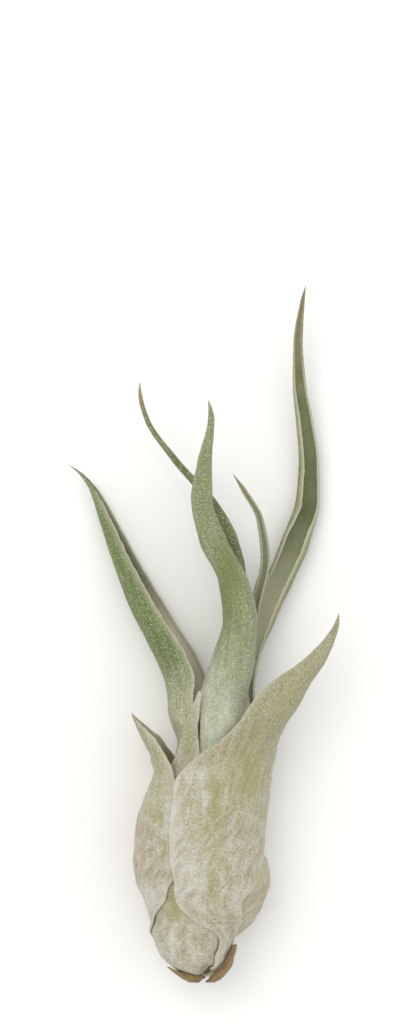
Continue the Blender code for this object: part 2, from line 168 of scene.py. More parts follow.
# Distances for measuring slopes, and samples along an arc
SLOPE_REACH = 0.25
ACROSS_REACH = 0.02
ARC_SAMPLES = 73

# Bulb outline: height, middle, half width
BULB = (
    (-87.0, -0.4, 1.5),
    (-86.4, -0.4, 2.9),
    (-85.6, -0.4, 4.5),
    (-84.1, -0.9, 6.4),
    (-82.2, -1.3, 8.3),
    (-79.7, -2.1, 9.8),
    (-75.7, -2.3, 11.4),
    (-70.8, 0.0, 13.2),
    (-65.8, 0.2, 14.9),
    (-60.9, -0.1, 16.7),
    (-56.5, -0.6, 16.8),
    (-52.0, -0.9, 16.2),
    (-46.0, -0.4, 16.1),
    (-41.1, 0.7, 15.6),
    (-36.1, 1.9, 14.6),
    (-31.2, 3.0, 12.6),
    (-26.2, 3.2, 11.2),
    (-21.0, 2.8, 10.7),
    (-16.3, 2.4, 10.6),
    (-11.0, 2.4, 11.0),
    (0.0, 2.4, 11.0),
)


class Leaf:
    """One leaf: a sheath that hugs the bulb, then a blade rolled into a channel that runs to a point.

    sheath rows: height, direction the back of the leaf faces, half of the angle it wraps
    blade rows: height, left edge, right edge, height above the surface, facing, half angle
    leaves_bulb: the heights where the blade starts to leave the bulb and where it is free of it
    flare: the length over which the base widens from the stem to the bulb
    step_down: how far beyond this leaf's edge the leaf under it is back at the surface
    """

    def __init__(
        self,
        base,
        tip,
        sheath,
        blade=(),
        leaves_bulb=None,
        flare=0.0,
        step_down=LEAF_STEP_DOWN,
    ):
        self.base = base
        self.tip = tip
        self.sheath = sheath
        self.blade = blade
        self.leaves_bulb = leaves_bulb
        self.flare = flare
        self.step_down = step_down


# Leaves from the outermost to the innermost
LEAVES = {
    "dry_scale_right": Leaf(
        base=LOWEST_BASE,
        tip=-76.6,
        sheath=(
            (-86.2, 20, 56),
            (-84.6, 14, 48),
            (-82.4, 8, 41),
            (-80.2, 4, 32),
            (-78.6, 7, 24),
            (-77.4, 13, 15),
            (-76.6, 18, 5),
        ),
        step_down=SCALE_STEP_DOWN,
    ),
    "dry_scale_left": Leaf(
        base=LOWEST_BASE,
        tip=-82.4,
        sheath=((-86.2, 142, 72), (-85.4, 146, 66), (-84.6, 154, 50), (-83.4, 164, 24), (-82.4, 171, 4)),
        step_down=SCALE_STEP_DOWN,
    ),
    "leaf_right_short": Leaf(
        base=-84.4,
        tip=5.4,
        sheath=(
            (-84.4, 32, 28),
            (-80.0, 30, 25),
            (-77.0, 32, 20),
            (-75.0, 38, 20),
            (-73.0, 52, 22),
            (-70.8, 69, 29),
            (-65.8, 84, 34),
            (-60.9, 76, 40),
            (-57.0, 72, 45),
            (-54.4, 67, 51),
            (-52.0, 59, 59),
            (-49.4, 52, 67),
            (-46.0, 45, 75),
            (-41.1, 47, 77),
            (-36.1, 50, 78),
            (-31.2, 48, 72),
            (-28.7, 44, 62),
            (-26.2, 38, 48),
            (-20.0, 34, 40),
        ),
        blade=(
            (-43.0, -7.8, 16.4, 14.0, 46, 77),
            (-36.1, -7.4, 16.9, 14.2, 48, 78),
            (-33.0, -5.0, 17.2, 14.4, 48, 77),
            (-31.2, -3.3, 17.7, 14.6, 48, 74),
            (-28.7, -0.2, 18.2, 14.9, 47, 68),
            (-26.2, 4.1, 18.6, 15.3, 46, 60),
            (-23.8, 6.9, 19.4, 15.8, 48, 60),
            (-21.3, 9.0, 20.6, 16.3, 50, 62),
            (-18.8, 10.5, 22.2, 16.8, 52, 68),
            (-13.9, 15.0, 25.6, 17.8, 55, 80),
            (-6.4, 24.4, 30.7, 18.9, 60, 100),
            (-1.5, 29.3, 32.5, 19.8, 62, 105),
            (3.0, 32.2, 33.6, 20.7, 64, 105),
            (5.4, 33.4, 33.4, 21.0, 64, 105),
        ),
        leaves_bulb=(-43.0, -33.0),
    ),
    "leaf_left_short": Leaf(
        base=-83.6,
        tip=-19.4,
        sheath=(
            (-83.6, 226, 16),
            (-80.0, 227, 19),
            (-76.0, 227, 23),
            (-73.5, 216, 34),
            (-70.8, 208, 44),
            (-65.8, 188, 54),
            (-60.9, 180, 60),
            (-56.0, 168, 69),
            (-46.0, 166, 69),
            (-41.0, 176, 58),
            (-36.0, 186, 56),
            (-31.0, 192, 54),
            (-28.0, 192, 54),
        ),
        blade=(
            (-40.0, -14.8, -5.0, 14.0, 184, 64),
            (-34.0, -13.0, -6.4, 14.0, 186, 66),
            (-30.0, -13.3, -7.8, 14.0, 188, 76),
            (-27.0, -15.0, -9.6, 14.0, 190, 95),
            (-24.0, -16.5, -12.8, 14.0, 190, 105),
            (-21.3, -17.6, -15.9, 14.0, 190, 105),
            (-19.4, -17.9, -17.9, 14.0, 190, 105),
        ),
        leaves_bulb=(-39.0, -30.0),
    ),
    "leaf_sheath_front": Leaf(
        base=-85.6,
        tip=-13.8,
        sheath=(
            (-85.6, 108, 40),
            (-84.2, 115, 58),
            (-80.0, 115, 74),
            (-76.0, 117, 76),
            (-73.0, 119, 78),
            (-70.8, 122, 76),
            (-68.0, 126, 74),
            (-65.8, 128, 72),
            (-60.0, 130, 70),
            (-46.0, 130, 60),
            (-38.0, 133, 44),
            (-31.0, 136, 25),
            (-26.0, 135, 18),
            (-19.0, 118, 8),
            (-13.8, 108, 2),
        ),
    ),
    "leaf_right_tall": Leaf(
        base=-85.2,
        tip=86.6,
        sheath=(
            (-85.2, 308, 46),
            (-80.0, 316, 70),
            (-75.7, 322, 84),
            (-66.0, 320, 106),
            (-56.0, 306, 102),
            (-46.0, 300, 96),
            (-36.0, 298, 92),
            (-30.0, 300, 86),
            (-24.0, 310, 72),
            (-20.0, 316, 64),
        ),
        blade=(
            (-32.0, -2.6, 14.6, 11.6, 300, 86),
            (-22.0, 1.0, 13.5, 9.8, 300, 80),
            (-14.0, 3.8, 12.9, 8.7, 292, 86),
            (-6.4, 6.8, 14.0, 7.9, 286, 98),
            (3.5, 10.2, 18.0, 6.8, 286, 116),
            (13.4, 15.3, 22.6, 5.1, 279, 132),
            (23.3, 19.4, 26.8, 4.1, 275, 134),
            (33.2, 23.0, 29.0, 3.5, 252, 130),
            (43.1, 23.7, 28.8, 4.2, 250, 126),
            (53.0, 23.0, 27.3, 5.4, 252, 122),
            (62.9, 22.1, 25.5, 7.4, 262, 118),
            (72.8, 22.3, 24.7, 9.2, 280, 112),
            (82.7, 24.0, 25.2, 11.2, 280, 110),
            (86.6, 25.4, 25.4, 12.0, 280, 110),
        ),
        leaves_bulb=(-32.0, -16.0),
    ),
    "leaf_centre": Leaf(
        base=-77.5,
        tip=57.8,
        sheath=(
            (-77.5, 60, 60),
            (-66.0, 42, 72),
            (-50.0, 40, 80),
            (-30.0, 42, 78),
            (-25.0, 44, 73),
            (-20.0, 46, 66),
            (-8.0, 50, 62),
        ),
        blade=(
            (-24.0, -1.6, 11.4, 15.0, 70, 78),
            (-16.3, -1.1, 10.7, 15.6, 80, 88),
            (-6.4, 1.9, 12.9, 16.0, 86, 104),
            (3.5, 4.7, 13.4, 16.6, 90, 112),
            (13.4, 3.4, 11.0, 17.4, 92, 116),
            (23.3, -1.3, 5.9, 18.4, 94, 118),
            (33.2, -3.1, 2.3, 19.6, 94, 118),
            (43.1, -1.4, 2.2, 21.4, 92, 118),
            (53.0, 1.0, 2.8, 23.2, 90, 115),
            (56.0, 1.1, 2.1, 23.7, 90, 115),
            (57.8, 1.1, 1.1, 24.0, 90, 115),
        ),
        leaves_bulb=(-22.0, -10.0),
        flare=8.0,
    ),
    "leaf_left_long": Leaf(
        base=-74.0,
        tip=42.3,
        sheath=(
            (-74.0, 212, 60),
            (-66.0, 210, 84),
            (-50.0, 207, 88),
            (-38.0, 205, 86),
            (-30.0, 200, 82),
            (-24.0, 192, 72),
            (-20.0, 188, 68),
        ),
        blade=(
            (-28.0, -8.6, 0.6, 14.0, 192, 84),
            (-22.0, -9.3, 0.4, 14.0, 192, 86),
            (-16.3, -8.9, 0.5, 13.3, 194, 102),
            (-11.4, -9.6, 0.6, 12.4, 192, 107),
            (-6.4, -11.6, -1.2, 11.4, 192, 110),
            (-1.5, -14.1, -4.2, 10.0, 193, 114),
            (8.4, -19.2, -10.3, 7.4, 196, 118),
            (18.3, -22.9, -16.1, 4.5, 196, 118),
            (28.2, -26.1, -21.5, 3.1, 196, 118),
            (35.0, -28.2, -25.6, 3.9, 198, 116),
            (39.5, -31.0, -29.6, 5.6, 202, 108),
            (42.3, -34.0, -34.0, 7.0, 202, 108),
        ),
        leaves_bulb=(-27.0, -15.0),
        flare=8.0,
    ),
    "leaf_thin_left": Leaf(
        base=-69.0,
        tip=62.6,
        sheath=(),
        blade=(
            (-69.0, -4.6, 3.8, 13.9, 100, 120),
            (-60.0, -4.2, 4.4, 13.9, 100, 125),
            (-40.0, -1.2, 6.2, 13.9, 98, 125),
            (-25.0, 1.6, 8.0, 13.9, 96, 112),
            (-10.0, 5.4, 10.2, 13.8, 92, 108),
            (0.0, 7.0, 10.2, 13.0, 86, 110),
            (8.0, 7.5, 10.2, 12.0, 82, 120),
            (14.9, 7.7, 10.5, 11.2, 80, 128),
            (23.3, 5.0, 8.7, 11.2, 80, 128),
            (33.2, -0.1, 3.1, 12.0, 80, 128),
            (43.1, -8.2, -5.9, 13.4, 84, 126),
            (53.0, -14.7, -13.2, 15.2, 84, 120),
            (59.5, -16.2, -15.2, 16.4, 84, 115),
            (62.6, -15.7, -15.7, 17.0, 84, 115),
        ),
    ),
    "leaf_thin_centre": Leaf(
        base=-62.0,
        tip=39.8,
        sheath=(),
        blade=(
            (-62.0, -1.9, 1.5, 13.9, 280, 100),
            (-50.0, -1.4, 2.0, 13.9, 280, 120),
            (-30.0, 2.0, 4.8, 13.6, 280, 120),
            (-18.0, 4.6, 7.0, 12.0, 280, 120),
            (-8.0, 7.4, 9.8, 10.4, 280, 124),
            (0.0, 10.4, 12.7, 9.9, 278, 126),
            (8.4, 11.8, 14.6, 10.6, 275, 128),
            (18.3, 14.1, 16.6, 12.0, 272, 125),
            (28.2, 13.0, 15.0, 13.8, 270, 122),
            (36.0, 8.9, 10.5, 15.8, 270, 118),
            (39.8, 7.1, 7.1, 17.0, 270, 118),
        ),
    ),
}


def along(rows, column, heights):
    """Smooth curve through one column of a table, read at the given heights, with no overshoot."""
    knots = np.array([row[0] for row in rows], float)
    values = np.array([row[column] for row in rows], float)
    step = np.diff(knots)
    slope = np.diff(values) / step
    tangent = np.zeros(len(knots))
    same_sign = slope[:-1] * slope[1:] > 0
    harmonic = 2 * slope[:-1] * slope[1:] / np.where(same_sign, slope[:-1] + slope[1:], 1)
    tangent[1:-1] = np.where(same_sign, harmonic, 0)
    tangent[0] = slope[0]
    tangent[-1] = slope[-1]
    at = np.clip(np.asarray(heights, float), knots[0], knots[-1])
    cell = np.clip(np.searchsorted(knots, at, side="right") - 1, 0, len(step) - 1)
    t = (at - knots[cell]) / step[cell]
    start = (1 + 2 * t) * (1 - t) ** 2 * values[cell] + t * (1 - t) ** 2 * step[cell] * tangent[cell]
    end = t * t * (3 - 2 * t) * values[cell + 1] - t * t * (1 - t) * step[cell] * tangent[cell + 1]
    return start + end


def ease(low, high, value):
    """0 below low, 1 above high, and smooth between."""
    t = np.clip((value - low) / (high - low), 0, 1)
    return t * t * (3 - 2 * t)


def unit(vectors):
    """The same directions with length 1."""
    return vectors / np.linalg.norm(vectors, axis=-1, keepdims=True)


def bulb_surface(angle, height):
    """Points of the bulb's outer surface, and its outward normals."""
    middle = along(BULB, 1, height)
    width = along(BULB, 2, height)
    depth = width * BULB_DEPTH_TO_WIDTH
    above = along(BULB, 2, height + SLOPE_REACH)
    below = along(BULB, 2, height - SLOPE_REACH)
    width_slope = (above - below) / (2 * SLOPE_REACH)
    points = np.stack([middle + width * np.cos(angle), height, BULB_AXIS_HEIGHT + depth * np.sin(angle)], -1)
    normals = np.stack(
        [np.cos(angle), -width_slope * np.ones_like(angle), np.sin(angle) / BULB_DEPTH_TO_WIDTH], -1
    )
    return points, unit(normals)


def wrap_angles(leaf, height):
    """Facing direction and half angle of a leaf's sheath, in radians."""
    facing = np.radians(along(leaf.sheath, 1, height))
    half = np.radians(along(leaf.sheath, 2, height))
    return facing, half


def cover(leaf, angle, height):
    """1 under a leaf's sheath, 0 well clear of it, and a smooth step in between."""
    if not leaf.sheath:
        return np.zeros_like(angle)
    top = leaf.leaves_bulb[1] if leaf.blade else leaf.tip
    below_top = top + MARGIN_CLEARANCE - height
    widest = np.full_like(angle, -math.inf)
    for shift in (-MARGIN_CLEARANCE, 0, MARGIN_CLEARANCE):
        facing, half = wrap_angles(leaf, height + shift)
        off = np.abs((angle - facing + math.pi) % (2 * math.pi) - math.pi)
        widest = np.maximum(widest, half - off)
    inside = widest * np.maximum(along(BULB, 2, height), NARROWEST_STEP_RADIUS)
    nearest = np.minimum(inside, below_top)
    return ease(-MARGIN_CLEARANCE - leaf.step_down, -MARGIN_CLEARANCE, nearest)


def sheath_points(name, angle, height, depth_in_leaf):
    """Sheath surface: the bulb's surface, lowered by one pitch for each leaf that lies over it."""
    surface, normal = bulb_surface(angle, height)
    depth = np.full_like(angle, depth_in_leaf)
    for other, leaf in LEAVES.items():
        if other == name:
            break
        depth = depth + SHEATH_PITCH * cover(leaf, angle, height)
    points = surface - normal * depth[..., None]
    points[..., 2] = soft_floor(points[..., 2], depth)
    base = LEAVES[name].base
    flare = LEAVES[name].flare
    if not flare:
        return points
    out = ease(base, base + flare, height)
    seat = along(STEM, 1, height) + STEM_TO_LEAF_GAP + BLADE_THICKNESS / 2
    seated = points.copy()
    seated[..., 0] = along(BULB, 1, height) + seat * np.cos(angle)
    seated[..., 1] = height
    seated[..., 2] = BULB_AXIS_HEIGHT + seat * np.sin(angle)
    return seated * (1 - out[..., None]) + points * out[..., None]


def soft_floor(value, floor):
    """Keeps values above a floor, with a rounded change of slope."""
    over = value - floor
    rounded = np.maximum(over + FLOOR_ROUNDING, 0) ** 2 / (4 * FLOOR_ROUNDING)
    return floor + np.where(over > FLOOR_ROUNDING, over, rounded)


def blade_frame(leaf, height):
    """Middle line, side vector and up vector of a blade at each height."""
    rows = leaf.blade

    def middle(at):
        x = (along(rows, 1, at) + along(rows, 2, at)) / 2
        return np.stack([x, at, along(rows, 3, at)], -1)

    half_width = (along(rows, 2, height) - along(rows, 1, height)) / 2
    follow = 1 - ease(NARROW_SECTION, WIDE_SECTION, half_width)[..., None]
    ahead = middle(np.minimum(height + SLOPE_REACH, leaf.tip))
    direction = unit(ahead - middle(height - SLOPE_REACH))
    direction = unit(direction * follow + np.array([0, 1, 0]) * (1 - follow))
    side = unit(np.cross(direction, [0, 0, 1]))
    up = np.cross(side, direction)
    half_width = half_width * side[..., 0]
    facing = np.radians(along(rows, 4, height))
    half = np.radians(along(rows, 5, height))
    return middle(height), side, up, half_width, facing, half


def blade_arc(half_width, facing, half):
    """Radius of a blade's arc, and how far its centre lies to the left of the blade's middle."""
    sweep = np.linspace(-1, 1, ARC_SAMPLES)
    arc = np.cos(facing[..., None] + sweep * half[..., None])
    low = arc.min(-1)
    high = arc.max(-1)
    outer = 2 * half_width / (high - low)
    radius = np.maximum(outer - BLADE_THICKNESS / 2, outer * THINNEST_CORE)
    return radius, outer * (high + low) / 2


def blade_points(leaf, across, height):
    """Blade surface: an arc round the middle line, as wide as the blade looks from above."""
    middle, side, up, half_width, facing, half = blade_frame(leaf, height)
    radius, offset = blade_arc(half_width, facing, half)
    centre = middle - side * offset[..., None]
    angle = facing + across * half
    return centre + side * (radius * np.cos(angle))[..., None] + up * (radius * np.sin(angle))[..., None]


def leaf_surface(name, across, height):
    """Middle surface of a leaf, for positions across it from -1 to 1 and heights up it."""
    leaf = LEAVES[name]
    if not leaf.sheath:
        return blade_points(leaf, across, height)
    facing, half = wrap_angles(leaf, height)
    sheath = sheath_points(name, facing + across * half, height, BLADE_THICKNESS / 2)
    if not leaf.blade:
        return sheath
    free = ease(*leaf.leaves_bulb, height)[..., None]
    blade = blade_points(leaf, across, np.maximum(height, leaf.blade[0][0]))
    return sheath * (1 - free) + blade * free


# Where the look of each leaf changes, seen from above: kind, x, y, half width, half length, turn, amount
PATCHES = {
    "leaf_right_short": (
        ("green", 2.8, -42.5, 2.8, 10.0, 4, 0.75),
        ("felt", 2.8, -42.5, 2.6, 9.0, 4, -0.22),
        ("green", 11.0, -36.0, 5.0, 9.0, 0, 0.60),
        ("felt", 11.0, -34.0, 5.0, 8.0, 0, -0.30),
        ("green", 2.5, -60.5, 1.7, 6.5, 0, 0.70),
        ("felt", 2.5, -60.5, 1.6, 6.0, 0, -0.16),
        ("green", 21.0, -16.0, 4.0, 8.0, -35, 0.45),
        ("felt", -7.6, -43.0, 1.2, 9.0, 0, 0.30),
        ("felt", -3.8, -59.0, 4.6, 6.5, 0, 0.26),
        ("felt", -4.6, -34.8, 3.8, 3.2, 30, 0.22),
        ("felt", 0.2, -38.0, 0.9, 5.0, 0, 0.30),
        ("green", -3.4, -46.0, 2.2, 7.0, 0, 0.45),
        ("brown", 11.7, -54.0, 4.5, 5.0, 0, 0.25),
        ("brown", 6.2, -70.6, 4.6, 2.8, 15, 0.65),
        ("brown", 1.5, -30.0, 3.2, 2.2, 35, 0.45),
    ),
    "leaf_sheath_front": (
        ("green", -7.4, -67.0, 3.2, 4.6, 10, 0.80),
        ("felt", -7.4, -66.5, 2.6, 3.6, 10, -0.22),
        ("felt", -9.0, -77.0, 4.0, 4.0, 0, 0.15),
        ("brown", 1.5, -79.0, 3.0, 6.0, -20, 0.30),
        ("green", -4.0, -24.0, 3.6, 9.0, 10, 0.65),
        ("felt", -4.0, -24.0, 3.0, 8.0, 10, -0.15),
        ("felt", 0.2, -24.0, 0.9, 9.0, 4, 0.70),
    ),
    "leaf_left_short": (
        ("felt", -12.8, -65.5, 3.4, 4.4, 0, 0.26),
        ("brown", -12.6, -52.5, 4.4, 5.6, 0, 0.40),
        ("green", -11.0, -40.0, 3.0, 8.0, 0, 0.70),
        ("felt", -8.6, -44.0, 1.2, 9.0, 0, 0.22),
    ),
    "leaf_centre": (
        ("green", 5.6, 12.0, 2.6, 11.0, -8, 0.80),
        ("felt", 5.6, 12.0, 3.0, 12.0, -8, -0.30),
        ("green", 1.5, 36.0, 3.0, 12.0, 10, 0.55),
        ("felt", 1.5, -4.0, 1.4, 14.0, 0, 0.20),
        ("green", 8.5, -9.0, 2.0, 9.0, 0, 0.30),
        ("brown", 9.0, -22.0, 3.0, 3.0, 0, 0.25),
    ),
    "leaf_left_long": (
        ("green", -22.0, 18.0, 5.0, 16.0, 20, 0.45),
        ("felt", -6.0, -14.0, 3.0, 8.0, 0, 0.15),
    ),
    "leaf_right_tall": (
        ("brown", 25.0, 74.0, 4.0, 12.0, 0, 0.22),
        ("brown", 7.0, -74.0, 5.0, 3.0, 0, 0.40),
        ("green", 14.5, -59.0, 3.0, 4.0, 0, 0.30),
    ),
}

# How each leaf looks: felt on its sheath and blade, where the sheath turns into blade, length of the
# brown tip and how brown it is, and how thickly scales stand on it
LOOKS = {
    "dry_scale_right": dict(felt=(0.0, 0.0), turns=(-80.0, -70.0), tip=4.0, brown=1.0, scales=0.05),
    "dry_scale_left": dict(felt=(0.1, 0.1), turns=(-80.0, -70.0), tip=4.0, brown=0.9, scales=0.10),
    "leaf_right_short": dict(felt=(0.42, 0.24), turns=(-36.0, -22.0), tip=3.0, brown=0.5, scales=0.9),
    "leaf_left_short": dict(felt=(0.40, 0.30), turns=(-44.0, -26.0), tip=3.0, brown=0.5, scales=0.9),
    "leaf_sheath_front": dict(felt=(0.42, 0.45), turns=(-40.0, -20.0), tip=2.0, brown=0.2, scales=0.9),
    "leaf_right_tall": dict(felt=(0.36, 0.14), turns=(-50.0, -10.0), tip=14.0, brown=0.4, scales=0.7),
    "leaf_centre": dict(felt=(0.52, 0.24), turns=(-26.0, 6.0), tip=6.0, brown=0.6, scales=0.8),
    "leaf_left_long": dict(felt=(0.44, 0.18), turns=(-30.0, -4.0), tip=4.0, brown=0.5, scales=0.8),
    "leaf_thin_left": dict(felt=(0.34, 0.20), turns=(-30.0, 0.0), tip=16.0, brown=0.9, scales=0.5),
    "leaf_thin_centre": dict(felt=(0.45, 0.30), turns=(-30.0, 0.0), tip=12.0, brown=0.6, scales=0.7),
}


def seed_of(name):
    """A leaf's own seed, so that no two leaves have the same grain."""
    return sum(map(ord, name))


def grain(x, y, seed):
    """Smooth random values from 0 to 1 over a plane, about one hill per unit."""
    table = np.random.default_rng(seed).random((GRAIN_CELLS, GRAIN_CELLS))
    column = np.floor(x).astype(int)
    row = np.floor(y).astype(int)
    s = x - column
    t = y - row
    s = s * s * (3 - 2 * s)
    t = t * t * (3 - 2 * t)
    left = column % GRAIN_CELLS
    right = (column + 1) % GRAIN_CELLS
    below = row % GRAIN_CELLS
    above = (row + 1) % GRAIN_CELLS
    low = table[below, left] * (1 - s) + table[below, right] * s
    high = table[above, left] * (1 - s) + table[above, right] * s
    return low * (1 - t) + high * t


def columns_across(leaf_width):
    """Positions from one margin to the other, closer together where the margin is rounded."""
    count = max(FEWEST_COLUMNS, round(leaf_width / COLUMN_SPACING))
    inner = np.linspace(-INNER_COLUMNS, INNER_COLUMNS, count)
    edge = np.array((1.0, *EDGE_COLUMNS))
    return np.concatenate([-edge, inner, edge[::-1]])


def arc_position(points):
    """Distance across the leaf from its middle line, and the distance to the nearer margin."""
    steps = np.linalg.norm(np.diff(points, axis=1), axis=2)
    walked = np.concatenate([np.zeros((len(points), 1)), np.cumsum(steps, axis=1)], axis=1)
    total = walked[:, -1:]
    return walked - total / 2, np.minimum(walked, total - walked)


def widest_arc(name):
    """Width of a leaf, measured round its channel, where it is widest."""
    leaf = LEAVES[name]
    across = np.linspace(-1, 1, COARSE_COLUMNS)
    height = np.linspace(leaf.base, leaf.tip, COARSE_ROWS)
    coarse = leaf_surface(name, *np.meshgrid(across, height))
    return np.linalg.norm(np.diff(coarse, axis=1), axis=2).sum(1).max()


def margin_bumps(name, across, height):
    """How far the margins stray from a smooth line, from -0.8 to 0.8."""
    seed = seed_of(name)
    bumps = grain(height / BUMP_SPACING, np.sign(across) * GRAIN_BETWEEN_MARGINS, seed)
    waves = grain(height / WAVE_SPACING, np.zeros_like(across), seed + 1)
    return bumps + WAVE_SHARE * waves - MEAN_GRAIN * (1 + WAVE_SHARE)


def leaf_skin_points(name):
    """Middle surface of a leaf, its normals and thickness, and where each point is on the leaf."""
    leaf = LEAVES[name]
    across = columns_across(widest_arc(name))
    count = round((leaf.tip - leaf.base) / ROW_SPACING)
    across, height = np.meshgrid(across, np.linspace(leaf.base, leaf.tip - APEX_LENGTH, count))
    middle = leaf_surface(name, across, height)
    higher = leaf_surface(name, across, height + SLOPE_REACH)
    lower = leaf_surface(name, across, height - SLOPE_REACH)
    right = leaf_surface(name, across + ACROSS_REACH, height)
    left = leaf_surface(name, across - ACROSS_REACH, height)
    sideways = unit(right - left)
    normal = unit(np.cross(higher - lower, right - left))

    from_middle, to_margin = arc_position(middle)
    thickness = BLADE_THICKNESS + (MARGIN_THICKNESS - BLADE_THICKNESS) * across**4
    from_tip = ease(0, TIP_TAPER_LENGTH, leaf.tip - height)
    thickness = thickness * (THINNEST_TIP + (1 - THINNEST_TIP) * from_tip)
    if leaf.blade:
        radius = blade_arc(*blade_frame(leaf, np.maximum(height, leaf.blade[0][0]))[3:])[0]
        thickness = np.minimum(thickness, THICKEST_FOR_RADIUS * radius)
    half_total = to_margin.max(axis=1, keepdims=True)
    rounding = np.minimum(EDGE_ROUNDING, half_total / 2)
    inward = np.clip(to_margin / rounding, 0, 1)
    thickness = thickness * np.sqrt(1 - (1 - inward) ** 2)

    push = MARGIN_BUMP * margin_bumps(name, across, height) * np.exp(-to_margin / MARGIN_REACH) * from_tip
    middle = middle + sideways * (np.sign(across) * push)[..., None]
    return middle, normal, thickness, dict(
        across=from_middle,
        height=height,
        to_margin=to_margin,
        from_tip=leaf.tip - height,
        half_width=half_total + np.zeros_like(height),
    )


def relief(name, spot):
    """Height of the felt, veins and wrinkles on the outer face."""
    seed = seed_of(name)
    x = spot["across"]
    y = spot["height"]
    on_sheath = 1 - ease(*LOOKS[name]["turns"], y)
    felt = (grain(x / FELT_SPACING[0], y / FELT_SPACING[1], seed) - MEAN_GRAIN) * FELT_RELIEF
    veins = np.cos(2 * math.pi * x / VEIN_SPACING) * VEIN_HEIGHT
    slanted = x / WRINKLE_SPACING[0] + y / WRINKLE_SLANT
    folds = grain(slanted, y / WRINKLE_SPACING[1], seed + 5)
    wrinkles = (folds - MEAN_GRAIN) * WRINKLE_RELIEF * on_sheath
    dry = 0
    if name.startswith("dry"):
        dry = (grain(x / DRY_SPACING[0], y / DRY_SPACING[1], seed + 9) - MEAN_GRAIN) * DRY_RELIEF
    where_wide = np.clip(spot["half_width"] / FULL_RELIEF_HALF_WIDTH, 0, 1)
    off_margin = np.clip(spot["to_margin"] / FULL_RELIEF_FROM_MARGIN, 0, 1)
    return (felt + veins + wrinkles + dry) * (where_wide * off_margin)


def patch(points, x, y, half_width, half_length, turn):
    """1 in the middle of a patch seen from above, fading to 0 round it."""
    angle = math.radians(turn)
    dx = points[..., 0] - x
    dy = points[..., 1] - y
    u = (dx * math.cos(angle) + dy * math.sin(angle)) / half_width
    v = (-dx * math.sin(angle) + dy * math.cos(angle)) / half_length
    return np.exp(-(u * u + v * v))


def paint(name, points, spot, outer):
    """Masks that the leaf materials and the scales read, each from 0 to 2.

    sheath, felt, green, brown: where the sheath's tone, felt, green patches and brown patches show
    inner, depth: the inner face, and how low in its channel a place is, where the pale tone with its painted
    light comes in
    margin, scale_density: how close the margin is, and how thickly scales stand
    """
    look = LOOKS[name]
    height = spot["height"]
    on_blade = ease(*look["turns"], height)
    sheath_felt, blade_felt = look["felt"]
    masks = dict(
        sheath=1 - on_blade,
        felt=sheath_felt * (1 - on_blade) + blade_felt * on_blade,
        green=np.zeros_like(height),
        brown=look["brown"] * (1 - ease(0, look["tip"], spot["from_tip"])),
    )
    if name.startswith("dry"):
        masks["brown"] = np.full_like(height, look["brown"])
    for kind, x, y, half_width, half_length, turn, amount in PATCHES.get(name, ()):
        masks[kind] = masks[kind] + amount * patch(points, x, y, half_width, half_length, turn)

    boldness = FAINTEST_MARGIN + (1 - FAINTEST_MARGIN) * ease(*MARGIN_GROWS_BOLD, spot["half_width"])
    masks["margin"] = np.exp(-spot["to_margin"] / MARGIN_REACH) * boldness
    blade_start = look["turns"][1]
    pale_end = blade_start + PALE_CHANNEL_SHARE * (LEAVES[name].tip - blade_start)
    masks["depth"] = 1 - ease(blade_start, pale_end, height)
    off_margin = np.clip(spot["to_margin"] / INNER_FACE_FADE, 0, 1)
    masks["inner"] = np.zeros_like(height) if outer else off_margin

    face_share = 1.0 if outer else SCALES_ON_INNER_FACE
    brown_share = 1 - SCALES_LOST_ON_BROWN * np.clip(masks["brown"], 0, 1)
    density = (SCALES_ON_BARE_TISSUE + masks["felt"]) * face_share * brown_share
    density = density + SCALES_ON_MARGIN * masks["margin"]
    masks["scale_density"] = np.clip(density, 0, MOST_SCALES) * look["scales"]
    return {key: np.clip(value, 0, 2) for key, value in masks.items()}


def ring_faces(rows, ring):
    """Faces of a closed tube of rings, its flat end and its pointed tip."""
    here = np.arange(rows - 1)[:, None] * ring + np.arange(ring)[None, :]
    next_one = np.arange(rows - 1)[:, None] * ring + (np.arange(ring)[None, :] + 1) % ring
    quads = np.stack([here, next_one, next_one + ring, here + ring], -1).reshape(-1, 4).tolist()
    last = (rows - 1) * ring
    tip = rows * ring
    quads += [[last + i, last + (i + 1) % ring, tip] for i in range(ring)]
    half = ring // 2
    quads += [[1, 0, ring - 1], [half, half - 1, half + 1]]
    quads += [[i + 1, i, ring - i, ring - i - 1] for i in range(1, half - 1)]
    return quads


def place(name, data):
    """An object of this mesh, light or camera, linked into the scene."""
    made = bpy.data.objects.new(name, data)
    bpy.context.scene.collection.objects.link(made)
    return made


def round_the_leaf(outer, inner):
    """Values of the outer face, then the inner face's on the way back, without its margins."""
    return np.concatenate([outer, inner[:, -2:0:-1]], 1)


